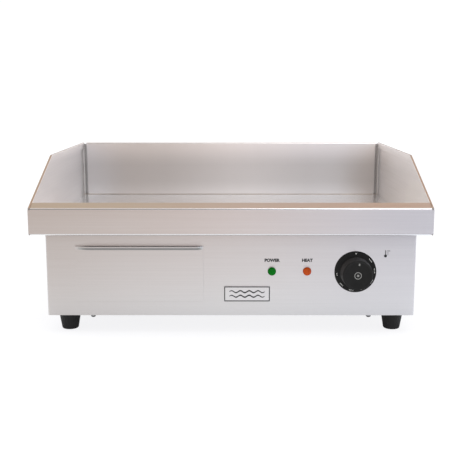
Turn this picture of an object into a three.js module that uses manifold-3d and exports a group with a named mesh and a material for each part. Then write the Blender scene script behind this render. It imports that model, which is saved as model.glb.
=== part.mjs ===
// Counter-top electric flat top griddle: polished plate in a three-sided
// splash surround with a front grease gutter, carried on a sheet-metal body
// with a drip-tray drawer, thermostat and two indicator lamps.
// Millimetres, +Z up, front faces -Y, origin on the floor below the centre of
// the 550 x 430 footprint. Names ending in HW are half widths about X = 0.
import * as THREE from 'three';
import { mergeVertices, toCreasedNormals } from 'three/addons/utils/BufferGeometryUtils.js';
import Module from 'manifold-3d';

const wasm = await Module();
wasm.setup();

// ---------------------------------------------------------- shared dimensions
const SHEET = 1.2;           // thickness of the stainless sheet
const HALF_W = 275;          // half of the overall width
const Y_FRONT = -215;        // outer face of the front apron
const Y_REAR = 215;          // back of the splash back
const TOP_Z = 246;           // top edge of the splash surround

const RIM_Z = 186.2;         // top of the front apron
const APRON_BOTTOM = 149.2;
const BREAK_Y = -63.1;       // where the slanted guard edge meets the level top
const SLOPE = (TOP_Z - RIM_Z) / (BREAK_Y - Y_FRONT);
const slopeZ = (y) => RIM_Z + SLOPE * (y - Y_FRONT);  // height of the slanted edge
const SKIRT_Z = 141.5;       // bottom of the guards behind the gutter

const SPLASH_Y = 209.5;      // front face of the splash back
const SPLASH_HW = 267.4;

const BODY_HW = 260.4;
const BODY_Y0 = -182;        // outer face of the front panel
const BODY_Y1 = 191.8;       // outer face of the rear panel
const BODY_Z0 = 28;
const SIDE_TOP = 139.5;      // top of the side and rear panels

const KNOB_X = 175, KNOB_Z = 92.1;
const LAMP_Z = 92.2, LAMP_GREEN_X = 57.8, LAMP_ORANGE_X = 107.4;

const ELEMENT_Z = 137.6, ELEMENT_END_Z = 122;
const COLD_END_Y = -118;     // turned-down ends of the heating elements
const ELEMENTS = { left: [-212, -26], right: [26, 212] };  // X of the outer passes

const TRAY_X0 = -211, TRAY_X1 = -46;
const GLAND_X = 190, GLAND_Z = 62;

// places at -x and +x in a low row, then in a high row
const fourPlaces = (x, low, high) => [[-x, low], [x, low], [-x, high], [x, high]];
const CORNERS = ['front_left', 'front_right', 'rear_left', 'rear_right'];
const FEET = fourPlaces(235.5, -148, 162);          // (X, Y)
const BASE_SCREWS = fourPlaces(197, -174, 183.5);   // (X, Y)
const REAR_SCREWS = fourPlaces(251, 50, 118);       // (X, Z)
const SCREW_HOLE_R = 2.4;

// -------------------------------------------------------------------- helpers
// welds a closed geometry, turns its faces outward and makes it a Manifold
function solid(source) {
  source.deleteAttribute('normal');
  source.deleteAttribute('uv');
  const geometry = mergeVertices(source, 1e-4);
  const { position } = geometry.attributes;
  const corners = geometry.index.array;
  const triangles = [];
  for (let i = 0; i < corners.length; i += 3) {
    const [a, b, c] = corners.slice(i, i + 3);
    if (a !== b && b !== c && a !== c) triangles.push([a, b, c]);
  }
  const vertex = (i) => new THREE.Vector3().fromBufferAttribute(position, i);
  let volume = 0;
  for (const [a, b, c] of triangles) volume += vertex(a).dot(vertex(b).cross(vertex(c)));
  const outward = volume < 0 ? triangles.map(([a, b, c]) => [a, c, b]) : triangles;
  return new wasm.Manifold(new wasm.Mesh({
    numProp: 3,
    vertProperties: new Float32Array(position.array),
    triVerts: new Uint32Array(outward.flat()),
  }));
}
function toGeometry(manifold) {
  const mesh = manifold.getMesh();
  const geometry = new THREE.BufferGeometry();
  const positions = new Float32Array(mesh.vertProperties);
  geometry.setAttribute('position', new THREE.BufferAttribute(positions, 3));
  geometry.setIndex(new THREE.BufferAttribute(new Uint32Array(mesh.triVerts), 1));
  return geometry;
}
const join = (...list) => list.flat().reduce((a, b) => a.add(b));
const cut = (body, ...tools) => tools.flat().reduce((a, b) => a.subtract(b), body);

// X range from `a` to `b` outboard of `origin`; side is -1 for left, 1 for right
const span = (side, a, b, origin = 0) => (
  side > 0 ? [origin + a, origin + b] : [origin - b, origin - a]);

function box(x0, x1, y0, y1, z0, z1) {
  const geometry = new THREE.BoxGeometry(x1 - x0, y1 - y0, z1 - z0);
  geometry.translate((x0 + x1) / 2, (y0 + y1) / 2, (z0 + z1) / 2);
  return solid(geometry);
}
const toVectors = (points) => points.map(([a, b]) => new THREE.Vector2(a, b));
const extrude = (points, options) => new THREE.ExtrudeGeometry(
  new THREE.Shape(toVectors(points)), { bevelEnabled: false, ...options });

// profile given in (Y, Z), swept from x0 to x1
function extrudeX(points, x0, x1) {
  const geometry = extrude(points, { depth: x1 - x0, steps: 1 });
  geometry.applyMatrix4(new THREE.Matrix4().makeBasis(
    new THREE.Vector3(0, 1, 0), new THREE.Vector3(0, 0, 1), new THREE.Vector3(1, 0, 0)));
  geometry.translate(x0, 0, 0);
  return solid(geometry);
}
// profile given in (X, Y), swept from z0 to z1
function extrudeZ(points, z0, z1) {
  const geometry = extrude(points, { depth: z1 - z0, steps: 1 });
  geometry.translate(0, 0, z0);
  return solid(geometry);
}

// rounds the inner corners of an open polyline, in two or three dimensions
function fillet(points, radius, steps = 3) {
  const out = [points[0]];
  for (let i = 1; i < points.length - 1; i++) {
    const corner = new THREE.Vector3(...points[i]);
    const back = new THREE.Vector3(...points[i - 1]).sub(corner);
    const ahead = new THREE.Vector3(...points[i + 1]).sub(corner);
    const backLength = back.length();
    const aheadLength = ahead.length();
    back.normalize();
    ahead.normalize();
    const angle = back.angleTo(ahead);
    if (angle > Math.PI - 0.02) {  // nearly straight
      out.push(points[i]);
      continue;
    }
    // the arc may use up just under half of either leg
    const halfTan = Math.tan(angle / 2);
    const setback = Math.min(radius / halfTan, backLength * 0.49, aheadLength * 0.49);
    const toCentre = setback * halfTan / Math.sin(angle / 2);
    const centre = corner.clone().addScaledVector(back.clone().add(ahead).normalize(), toCentre);
    const start = corner.clone().addScaledVector(back, setback).sub(centre);
    const end = corner.clone().addScaledVector(ahead, setback).sub(centre);
    const sweep = start.angleTo(end);
    for (let k = 0; k <= steps; k++) {
      const t = k / steps;
      const point = start.clone().multiplyScalar(Math.sin((1 - t) * sweep) / Math.sin(sweep))
        .addScaledVector(end, Math.sin(t * sweep) / Math.sin(sweep)).add(centre);
      out.push(point.toArray().slice(0, points[i].length));
    }
  }
  out.push(points[points.length - 1]);
  return out;
}
// closed section of the sheet whose centre line is the polyline
function sheet(points) {
  const line = toVectors(points);
  const normals = line.slice(1).map((p, i) => {
    const along = p.clone().sub(line[i]).normalize();
    return new THREE.Vector2(-along.y, along.x);
  });
  const left = [], right = [];
  line.forEach((p, i) => {
    const before = normals[i - 1], after = normals[i];
    let offset = before || after;
    if (before && after) {  // mitre
      offset = before.clone().add(after);
      offset.multiplyScalar(1 / (0.5 * offset.lengthSq()));
    }
    left.push([p.x + offset.x * SHEET / 2, p.y + offset.y * SHEET / 2]);
    right.unshift([p.x - offset.x * SHEET / 2, p.y - offset.y * SHEET / 2]);
  });
  return left.concat(right);
}

// solids of revolution; points are (radius, position along the axis)
function latheZ(points, x, y, segments) {
  const geometry = new THREE.LatheGeometry(toVectors(points), segments);
  geometry.rotateX(Math.PI / 2);
  geometry.translate(x, y, 0);
  return solid(geometry);
}
function latheY(points, x, z, segments) {
  const geometry = new THREE.LatheGeometry(toVectors(points), segments);
  geometry.translate(x, 0, z);
  return solid(geometry);
}
const rodSection = (r, from, to) => [[0, from], [r, from], [r, to], [0, to]];
const rodZ = (r, z0, z1, x, y, segments) => latheZ(rodSection(r, z0, z1), x, y, segments);
const rodY = (r, y0, y1, x, z, segments) => latheY(rodSection(r, y0, y1), x, z, segments);
const hexZ = (r, z0, z1, x, y) => rodZ(r, z0, z1, x, y, 6);
function rodX(r, x0, x1, y, z, segments) {
  const geometry = new THREE.CylinderGeometry(r, r, x1 - x0, segments);
  geometry.rotateZ(Math.PI / 2);
  geometry.translate((x0 + x1) / 2, y, z);
  return solid(geometry);
}
// equal rods at several (X, Y) or (X, Z) places
const rodsZ = (places, r, z0, z1, segments) => (
  places.map(([x, y]) => rodZ(r, z0, z1, x, y, segments)));
const rodsY = (places, r, y0, y1, segments) => (
  places.map(([x, z]) => rodY(r, y0, y1, x, z, segments)));

// path through listed points, one sweep station per point
class StationCurve extends THREE.Curve {
  constructor(points) {
    super();
    this.points = points.map((p) => new THREE.Vector3(...p));
    this.last = points.length - 1;
  }
  getPointAt(u) {
    return this.points[Math.round(u * this.last)].clone();
  }
  getTangentAt(u) {
    const i = Math.round(u * this.last);
    const direction = (from) => this.points[from + 1].clone().sub(this.points[from]).normalize();
    const tangent = new THREE.Vector3();
    if (i > 0) tangent.add(direction(i - 1));
    if (i < this.last) tangent.add(direction(i));
    return tangent.normalize();
  }
}
function tube(points, radius, sides) {
  const circle = [];
  for (let i = 0; i < sides; i++) {
    const angle = 2 * Math.PI * i / sides;
    circle.push([radius * Math.cos(angle), radius * Math.sin(angle)]);
  }
  return solid(extrude(circle, {
    steps: points.length - 1, extrudePath: new StationCurve(points),
  }));
}

const FINISHES = {
  brushed: { color: '#b9babd', metalness: 0.9, roughness: 0.35 },
  polished: { color: '#c9c9c9', metalness: 1.0, roughness: 0.2 },
  steel: { color: '#8d8f92', metalness: 0.9, roughness: 0.45 },
  black: { color: '#222224', metalness: 0.0, roughness: 0.5 },
  rubber: { color: '#2b2b2d', metalness: 0.0, roughness: 0.8 },
  wool: { color: '#d8cfae', metalness: 0.0, roughness: 0.95 },
  green: { color: '#0c7a1c', metalness: 0.0, roughness: 0.3 },
  orange: { color: '#d2591c', metalness: 0.0, roughness: 0.3 },
  brass: { color: '#b08d3c', metalness: 0.9, roughness: 0.35 },
  white: { color: '#e8e6df', metalness: 0.0, roughness: 0.5 },
  element: { color: '#5d5a55', metalness: 0.7, roughness: 0.6 },
  copper: { color: '#a8683c', metalness: 0.9, roughness: 0.4 },
  loom: { color: '#3c3f46', metalness: 0.0, roughness: 0.7 },
};
const CREASE_ANGLE = 0.6;    // radians; sharper edges are shaded hard
const griddle = new THREE.Group();
griddle.name = 'flat_top_griddle';
function put(name, manifold, finish) {
  const geometry = toCreasedNormals(toGeometry(manifold), CREASE_ANGLE);
  const mesh = new THREE.Mesh(geometry, new THREE.MeshStandardMaterial(FINISHES[finish]));
  mesh.name = name;
  griddle.add(mesh);
}

// ------------------------------------------------------------ cooking surface
{
  // plate with a rounded upper front edge
  const top = 150, bottom = top - 8;
  const front = -157, rear = 209.1, halfWidth = 273.3;
  put('griddle_plate', extrudeX([
    [front, bottom], [rear, bottom], [rear, top], [front + 3, top],
    [front + 1.5, top - 0.4], [front + 0.4, top - 1.5], [front, top - 3],
  ], -halfWidth, halfWidth), 'polished');
}
{
  // folded splash back: front skin, level top flange, short return at the back
  const skinY = SPLASH_Y + SHEET / 2, backY = Y_REAR - SHEET / 2, flangeZ = TOP_Z - SHEET / 2;
  const skin = extrudeX(sheet(fillet([
    [skinY, SKIRT_Z], [skinY, flangeZ], [backY, flangeZ], [backY, TOP_Z - 18],
  ], 1.2)), -SPLASH_HW, SPLASH_HW);
  // side returns, turned out again behind the open joint at both rear corners
  const returns = [-1, 1].map((side) => {
    const strip = (a, b, y0, y1) => box(
      ...span(side, SPLASH_HW + a, SPLASH_HW + b), y0, y1, SKIRT_Z + 0.2, TOP_Z - 2.5);
    return join(
      strip(-1.4, -0.2, SPLASH_Y + 0.4, Y_REAR - 0.2),
      strip(-1.3, 5, Y_REAR - 1.4, Y_REAR - 0.2),
    );
  });
  put('splash_back', join(skin, returns), 'brushed');
}

// side guard: skin, folded hem along the top edge, flange at the rear corner
function guard(side) {
  const front = Y_FRONT + SHEET + 0.3, rear = 212.5;
  const frontZ = slopeZ(front);
  const hemWidth = 3, hemHeight = 10;
  const cornerGap = 2.6;     // open joint between splash back and flange
  const skin = extrudeX([
    [front, APRON_BOTTOM], [-172, APRON_BOTTOM], [-163, SKIRT_Z], [rear, SKIRT_Z],
    [rear, TOP_Z], [BREAK_Y, TOP_Z], [front, frontZ],
  ], ...span(side, HALF_W - SHEET, HALF_W));
  // the hem keeps its height square to both the slanted and the level edge
  const hemDrop = hemHeight * Math.hypot(1, SLOPE);
  const hemBreakY = BREAK_Y + hemHeight * Math.tan(Math.atan(SLOPE) / 2);
  const hem = extrudeX([
    [rear, TOP_Z - hemHeight], [rear, TOP_Z], [BREAK_Y, TOP_Z], [front, frontZ],
    [front, frontZ - hemDrop], [hemBreakY, TOP_Z - hemHeight],
  ], ...span(side, HALF_W - hemWidth, HALF_W - 0.1));
  const flange = box(...span(side, SPLASH_HW + cornerGap, HALF_W - 0.1),
    SPLASH_Y, SPLASH_Y + SHEET, SKIRT_Z, TOP_Z - 1.7);
  return join(skin, hem, flange);
}
put('splash_guard_left', guard(-1), 'brushed');
put('splash_guard_right', guard(1), 'brushed');

{
  // front apron: vertical face, sloped rim strip, inner return and bottom hem
  const foldHW = 271.6;
  const faceY = Y_FRONT + SHEET / 2;
  const returnY = Y_FRONT + 16.2 - SHEET / 2;
  const hemZ = APRON_BOTTOM + SHEET / 2;
  // sets the rim's centre line just over half a sheet below the slanted edge
  const rimDrop = 1.08 * SHEET / 2 / Math.hypot(1, SLOPE);
  const fold = extrudeX(sheet(fillet([
    [Y_FRONT + 11, hemZ], [faceY, hemZ],
    [faceY, slopeZ(faceY) - rimDrop], [returnY, slopeZ(returnY) - rimDrop],
    [returnY, RIM_Z - 3.5],
  ], 1.6)), -foldHW, foldHW);
  const face = box(-HALF_W, HALF_W, Y_FRONT, Y_FRONT + SHEET, APRON_BOTTOM + 1.8, RIM_Z - 1.2);
  put('front_apron', join(fold, face), 'brushed');
}
{
  // grease gutter: slanted catch wall, trough, level shoulders at both ends
  const y0 = -177.5, y1 = -153.5, floorZ = 131.6, halfWidth = 255;
  const wallHW = 271.5;
  const rearLipZ = 141.2, shoulderY = -157.7, shoulderZ = 145.2;
  const drainX = -150, drainY = -165.5;
  const bend = 1.6;
  const wall = [[-197.6, 188.4], [-197.6, 176], [y0, 151]];
  const full = extrudeX(sheet(fillet(
    [...wall, [y0, floorZ], [y1, floorZ], [y1, rearLipZ]], bend)), -halfWidth, halfWidth);
  const upper = extrudeX(sheet(fillet(
    [...wall, [y0, shoulderZ], [shoulderY, shoulderZ]], bend)), -wallHW, wallHW);
  const middle = box(-halfWidth + SHEET, halfWidth - SHEET, y0 + 0.7, -150, 143, 150);
  const caps = [-1, 1].map((side) => box(
    ...span(side, halfWidth - SHEET, halfWidth), y0, y1, floorZ - 0.5, shoulderZ));
  const capTrim = box(-halfWidth - 1, halfWidth + 1, shoulderY, -150, rearLipZ, 150);
  put('grease_gutter', cut(
    join(full, cut(upper, middle), cut(join(caps), capTrim)),
    rodZ(9, 125, 140, drainX, drainY, 20),
  ), 'brushed');
  // flanged spout in the trough floor
  put('gutter_drain_spout', latheZ([
    [6.8, 120.5], [8.4, 120.5], [8.4, 132.7], [10.6, 132.7],
    [10.6, 133.7], [6.8, 133.7], [6.8, 120.5],
  ], drainX, drainY, 20), 'brushed');
}
{
  // angle-section frame that carries the plate on the body
  const top = 141.6;
  const inset = (d, z0, z1) => box(-257.4 + d, 257.4 - d, -150.5 + d, 187.5 - d, z0, z1);
  const flange = cut(inset(0, top - 1.6, top), inset(25, top - 5, top + 1));
  const leg = cut(inset(23.4, 128, top - 0.2), inset(25, 120, top + 1));
  put('plate_support_frame', join(flange, leg), 'steel');
}

// ------------------------------------------------------------ heating package
// four passes front to rear, both cold ends turned down at the front
function element(x0, x1) {
  const frontY = -96, rearY = 150;
  const passes = 4, pitch = (x1 - x0) / (passes - 1);
  const points = [[x0, COLD_END_Y, ELEMENT_END_Z], [x0, COLD_END_Y, ELEMENT_Z]];
  for (let i = 0; i < passes; i++) {
    const x = x0 + i * pitch;
    const [startY, endY] = i % 2 === 0 ? [frontY, rearY] : [rearY, frontY];
    if (i > 0) points.push([x, startY, ELEMENT_Z]);
    if (i < passes - 1) points.push([x, endY, ELEMENT_Z]);
  }
  points.push([x1, COLD_END_Y, ELEMENT_Z], [x1, COLD_END_Y, ELEMENT_END_Z]);
  return tube(fillet(points, 12), 4, 8);
}
for (const [side, ends] of Object.entries(ELEMENTS)) {
  put(`heating_element_${side}`, element(...ends), 'element');
}

// clamp bars under the elements, each on two studs
const CLAMP_Y = { front: -60, rear: 110 };
const STUDS = fourPlaces(119, CLAMP_Y.front, CLAMP_Y.rear);
for (const [place, clampY] of Object.entries(CLAMP_Y)) {
  const holes = rodsZ(STUDS.filter(([, y]) => y === clampY), 3.6, 125, 140, 12);
  const bar = box(-222, 222, clampY - 9, clampY + 9, 130.3, 133.2);
  put(`element_clamp_${place}`, cut(bar, holes), 'steel');
}
STUDS.forEach(([x, y], i) => {
  const stud = join(rodZ(3, 123.5, 141.6, x, y, 12), hexZ(5.6, 125.4, 129.9, x, y));
  put(`element_clamp_stud_${i + 1}`, stud, 'steel');
});
{
  // open-topped heat shield filled with the insulation blanket
  const bottom = 112;
  const inset = (d, z0, z1) => box(-229.5 + d, 229.5 - d, -108 + d, 160 - d, z0, z1);
  const blanket = inset(1.6, bottom + SHEET + 0.4, 129.9);
  put('insulation_blanket', cut(blanket, rodsZ(STUDS, 7.5, 105, 140, 10)), 'wool');
  const top = 131.5;
  put('heat_shield', cut(
    inset(0, bottom, top), inset(SHEET, bottom + SHEET, top + 1)), 'steel');
}

// ---------------------------------------------------- thermostat and controls
{
  // sensing bulb under the plate and its capillary to the thermostat
  const z = ELEMENT_Z + 0.8, capillaryZ = 104;
  put('thermostat_bulb', join(
    tube([[0, -70, z], [0, 30, z]], 3, 10),
    tube(fillet([
      [0, -66, z], [0, -117, z], [0, -117, capillaryZ],
      [150, -117, capillaryZ], [168, -140.5, capillaryZ],
    ], 10), 1.1, 6),
  ), 'copper');
}
put('overheat_limiter', join(
  rodY(9, -116, -110.6, 120, 121, 20),
  box(106, 134, -110.7, -108.5, 115, 127),
  box(114, 126, -122, -115.8, 116, 118),
), 'black');
{
  const block = (half, y0, y1) => box(
    KNOB_X - half.x, KNOB_X + half.x, y0, y1, KNOB_Z - half.z, KNOB_Z + half.z);
  put('thermostat_body', cut(
    join(
      block({ x: 22, z: 20 }, -172, -142),
      rodY(4.8, -187.2, -171.5, KNOB_X, KNOB_Z, 20),
      block({ x: 12, z: 9 }, -180.2, -171.5),
    ),
    rodY(3.08, -190, -158, KNOB_X, KNOB_Z, 32),
  ), 'white');
  put('thermostat_shaft', rodY(3, -204, -159, KNOB_X, KNOB_Z, 32), 'steel');
}
{
  // dial knob: flat skirt and raised cap, bored for the shaft and its bush
  const back = BODY_Y0 - 1.2, skirtR = 29.4, capR = 21;
  const body = latheY([
    [0, back], [skirtR - 0.6, back], [skirtR, back - 0.4], [skirtR, back - 2.4],
    [skirtR - 0.9, back - 4.4], [skirtR - 3.4, back - 5.6], [capR + 0.8, back - 6.4],
    [capR, back - 24.8], [capR - 0.9, back - 26.9], [capR - 2.4, back - 27.8], [0, back - 28],
  ], KNOB_X, KNOB_Z, 48);
  put('thermostat_knob', cut(body,
    rodY(3.4, -204.6, -180, KNOB_X, KNOB_Z, 16),
    rodY(8, -188.4, -180, KNOB_X, KNOB_Z, 20),
  ), 'black');
}
// domed lens in front of the panel, lamp body behind it
function lamp(name, x, finish) {
  const lensR = 5.9, neckR = 4.7;
  put(`${name}_lamp_lens`, latheY([
    [0, -178], [neckR, -178], [neckR, -182.4], [lensR, -182.4],
    [lensR, -184.4], [4.7, -186], [2.6, -186.9], [0, -187.2],
  ], x, LAMP_Z, 24), finish);
  put(`${name}_lamp_body`, join(
    rodY(6.2, -177.6, -156, x, LAMP_Z, 20),
    rodY(3.6, -156.2, -150, x, LAMP_Z, 12),
  ), 'white');
}
lamp('power', LAMP_GREEN_X, 'green');
lamp('heat', LAMP_ORANGE_X, 'orange');
put('badge_plate', box(-9.8, 55.5, BODY_Y0 - 1.1, BODY_Y0 - 0.3, 48.3, 70.6), 'steel');

// ----------------------------------------------------------------------- body
{
  // front panel: face with returns at both sides, shorter above returnTop
  const returnTop = 143, top = 147.2;
  const x = BODY_HW - SHEET / 2, faceY = BODY_Y0 + SHEET / 2;
  const wrap = (backY, z0, z1) => extrudeZ(sheet(fillet(
    [[-x, backY], [-x, faceY], [x, faceY], [x, backY]], 2.4, 4)), z0, z1);
  const through = [BODY_Y0 - 1, BODY_Y0 + 3];  // Y range of the cutting tools
  const lampPlaces = [[LAMP_GREEN_X, LAMP_Z], [LAMP_ORANGE_X, LAMP_Z]];
  put('front_panel', cut(
    join(
      wrap(-167, BODY_Z0, returnTop),
      wrap(-178.9, returnTop - 1, top),
      box(-256.4, 256.4, BODY_Y0 + 0.6, -168, BODY_Z0, BODY_Z0 + SHEET),
    ),
    box(-214.5, -42.5, ...through, 50.3, 127.6),  // drawer opening
    rodY(5.4, ...through, KNOB_X, KNOB_Z, 20),
    rodsY(lampPlaces, 5.1, ...through, 20),
    rodsZ(BASE_SCREWS.slice(0, 2), SCREW_HOLE_R, 20, 40, 12),
  ), 'brushed');
}
// side panel: skin joggled inward at the front, flanges inward on the other edges
function sidePanel(side) {
  const rearY = 190.2, flangeX = BODY_HW - 0.2;
  const x = side * (BODY_HW - SHEET / 2), joggleX = side * (BODY_HW - SHEET / 2 - 2.1);
  const strip = (x0, x1, ...rest) => box(...span(side, x0, x1), ...rest);
  const panel = join(
    extrudeZ(sheet(fillet([
      [x, rearY], [x, -164.4], [joggleX, -167.4], [joggleX, -178.5],
    ], 1.2)), BODY_Z0 + 1.6, SIDE_TOP),
    strip(BODY_HW - SHEET, BODY_HW, -164, rearY, BODY_Z0, BODY_Z0 + 2),
    strip(242.4, flangeX, -150, rearY, SIDE_TOP - SHEET, SIDE_TOP),
    strip(246, flangeX, -164, rearY, BODY_Z0, BODY_Z0 + SHEET),
    strip(243, flangeX, 189, rearY, BODY_Z0, SIDE_TOP),
  );
  const slots = [];
  for (let i = 0; i < 7; i++) slots.push(strip(255, 265, i * 20, i * 20 + 5, 44, 72));
  const screws = REAR_SCREWS.filter(([screwX]) => Math.sign(screwX) === side);
  return cut(panel, slots, rodsY(screws, SCREW_HOLE_R, 180, 195, 12));
}
put('side_panel_left', sidePanel(-1), 'brushed');
put('side_panel_right', sidePanel(1), 'brushed');
{
  // rear panel with a bottom return and three rows of slots
  const skin = box(-258.8, 258.8, BODY_Y1 - SHEET, BODY_Y1, BODY_Z0, SIDE_TOP);
  const bottomReturn = box(-242.5, 242.5, 177, BODY_Y1 - 0.2, BODY_Z0, BODY_Z0 + SHEET);
  const slots = [];
  for (const z of [98, 110, 122]) {
    for (let i = 0; i < 4; i++) {
      slots.push(box(-190 + i * 100, -110 + i * 100, 185, 195, z, z + 4));
    }
  }
  put('rear_panel', cut(
    join(skin, bottomReturn), slots,
    rodsY(REAR_SCREWS, SCREW_HOLE_R, 185, 195, 12),
    rodY(9.4, 185, 195, GLAND_X, GLAND_Z, 24),
    rodsZ(BASE_SCREWS.slice(2), SCREW_HOLE_R, 20, 40, 12),
  ), 'brushed');
}
put('bottom_plate', cut(
  box(-256.6, 256.6, -179.5, 188.4, BODY_Z0 + 1.6, BODY_Z0 + 2.8),
  rodsZ(FEET, 3.5, 20, 40, 12),
  rodsZ(BASE_SCREWS, SCREW_HOLE_R, 20, 40, 12),
), 'brushed');

const FOOT_OUTLINE = [       // (radius, Z)
  [0, 0], [10.65, 0], [11.65, 0.5], [12.05, 1.8], [14.85, 18.5], [15.15, 20.4],
  [15.75, 21.6], [15.85, 23], [15.85, 26.8], [15.35, 27.6], [0, 27.6],
];
FEET.forEach(([x, y], i) => {
  const rubber = latheZ(FOOT_OUTLINE, x, y, 32);
  const nut = hexZ(5.8, BODY_Z0 + 3.2, BODY_Z0 + 8, x, y);
  put(`foot_${CORNERS[i]}`, cut(rubber, rodZ(3.4, 12, 30, x, y, 12)), 'rubber');
  put(`foot_stud_${CORNERS[i]}`, join(rodZ(3, 12.4, 39, x, y, 12), nut), 'steel');
});

const REAR_SCREW_HEAD = [    // (radius, distance behind the rear panel)
  [0, 2.8], [2.2, 2.6], [3.6, 1.4], [3.7, 0.4], [0, 0.4],
];
REAR_SCREWS.forEach(([x, z], i) => {
  const head = latheY(REAR_SCREW_HEAD.map(([r, y]) => [r, BODY_Y1 + y]), x, z, 16);
  put(`rear_panel_screw_${i + 1}`, join(rodY(1.9, 183, BODY_Y1 + 1, x, z, 12), head), 'steel');
});
const BASE_SCREW_HEAD = [    // (radius, Z)
  [0, 23.3], [2.0, 23.5], [3.1, 24.3], [3.6, 25.8], [3.6, 27.7], [0, 27.7],
];
BASE_SCREWS.forEach(([x, y], i) => {
  const head = latheZ(BASE_SCREW_HEAD, x, y, 16);
  put(`base_screw_${CORNERS[i]}`, join(rodZ(1.9, 26.5, 35, x, y, 12), head), 'steel');
});

// ----------------------------------------------------------- drip-tray drawer
{
  const rear = 60, bottom = 51.1, top = 110;
  put('drip_tray', cut(
    box(TRAY_X0, TRAY_X1, BODY_Y0, rear, bottom, top),
    box(TRAY_X0 + SHEET, TRAY_X1 - SHEET, BODY_Y0 + SHEET, rear - SHEET,
      bottom + SHEET, top + 1),
  ), 'brushed');
}
{
  // front lapped over the panel, its top flared outward into a full-width pull lip
  const y = BODY_Y0 - 0.3 - SHEET / 2, topZ = 127.7 - 0.4, flare = 3.6;
  const section = sheet(fillet([[y, 48.6], [y, topZ - flare], [y - flare, topZ]], 1.6));
  put('drip_tray_front', extrudeX(section, -218.4, -38.8), 'brushed');
}
// angle rail along the tray's lower edge, on two posts with feet turned under it
function drawerRunner(side, trayX) {
  const strip = (a, b, ...rest) => box(...span(side, a, b, trayX), ...rest);
  const railY = [-180.4, 75], railZ = 49.5, footZ = 31.2;
  const postYs = [-120, 40];
  return join(
    strip(1.2, 2.4, ...railY, railZ, 70),
    strip(-11, 2.4, ...railY, railZ, 50.7),
    postYs.map((y) => strip(1.2, 2.4, y - 8, y + 8, footZ, 50)),
    postYs.map((y) => strip(-8, 2.4, y - 8, y + 8, footZ, 32.4)),
  );
}
put('drawer_runner_left', drawerRunner(-1, TRAY_X0), 'steel');
put('drawer_runner_right', drawerRunner(1, TRAY_X1), 'steel');

// ----------------------------------------------------------------- electrics
const BASE_TOP = 31.2;       // underside of the parts mounted over the bottom plate
{
  const terminals = [150, 161, 172, 183, 194].flatMap((x) => [[x, 146], [x, 158]]);
  put('terminal_block', cut(
    box(140, 204, 140, 164, BASE_TOP, 52), rodsZ(terminals, 2.6, 44, 60, 8)), 'white');
  const x = 222, y = 152;
  put('earth_stud', join(
    rodZ(2.5, BASE_TOP, 46, x, y, 12),
    hexZ(5, BASE_TOP, 35.6, x, y),
    hexZ(4.6, 38, 42, x, y),
  ), 'brass');
}
{
  // trunk from the terminal block to the front, with wires fanning out of it
  const hub = [120, -128, 60], trunkEnd = [150, -134, 80];
  const [leftOuter, leftInner] = ELEMENTS.left;
  const [rightInner, rightOuter] = ELEMENTS.right;
  const wire = (points, { bend, steps = 2, radius = 2 }) => (
    tube(fillet(points, bend, steps), radius, 6));
  const coldEnd = (x, z = 112) => [[x, COLD_END_Y, z], [x, COLD_END_Y, ELEMENT_END_Z - 0.5]];
  const lampEnd = (x) => [[x, -143, LAMP_Z], [x, -149.5, LAMP_Z]];
  const linkZ = 119.2;       // level of the wire to the outer left cold end
  put('wiring_harness', join(
    tube(fillet([
      [180, 134, 42], [120, 134, 42], [120, -60, 42], [120, -112, 42], hub, trunkEnd,
    ], 14), 4.2, 8),
    wire([trunkEnd, [168, -134, 88], [KNOB_X, -134, 88], [KNOB_X, -141.5, 88]],
      { bend: 3, radius: 2.2 }),
    wire([hub, [120, -121, 90], [120, -121, 115.5]], { bend: 8, radius: 1.8 }),
    wire([hub, [LAMP_ORANGE_X, -136, 80], ...lampEnd(LAMP_ORANGE_X)], { bend: 6 }),
    wire([hub, [80, -136, 72], ...lampEnd(LAMP_GREEN_X)], { bend: 6 }),
    wire([hub, [60, -126, 84], [rightInner, -124, 100], ...coldEnd(rightInner)], { bend: 8 }),
    wire([hub, [190, -130, 84], [rightOuter, -124, 100], ...coldEnd(rightOuter)], { bend: 8 }),
    wire([
      [rightInner, -124, 100], [0, -126, 104], [leftInner, -124, 106], ...coldEnd(leftInner),
    ], { bend: 4 }),
    wire([
      [leftInner, -124, 106], [leftInner - 10, -132, linkZ], [leftOuter - 6, -132, linkZ],
      [leftOuter - 6, -126, linkZ], ...coldEnd(leftOuter, linkZ),
    ], { bend: 1.5, steps: 1 }),
  ), 'loom');
}
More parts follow.
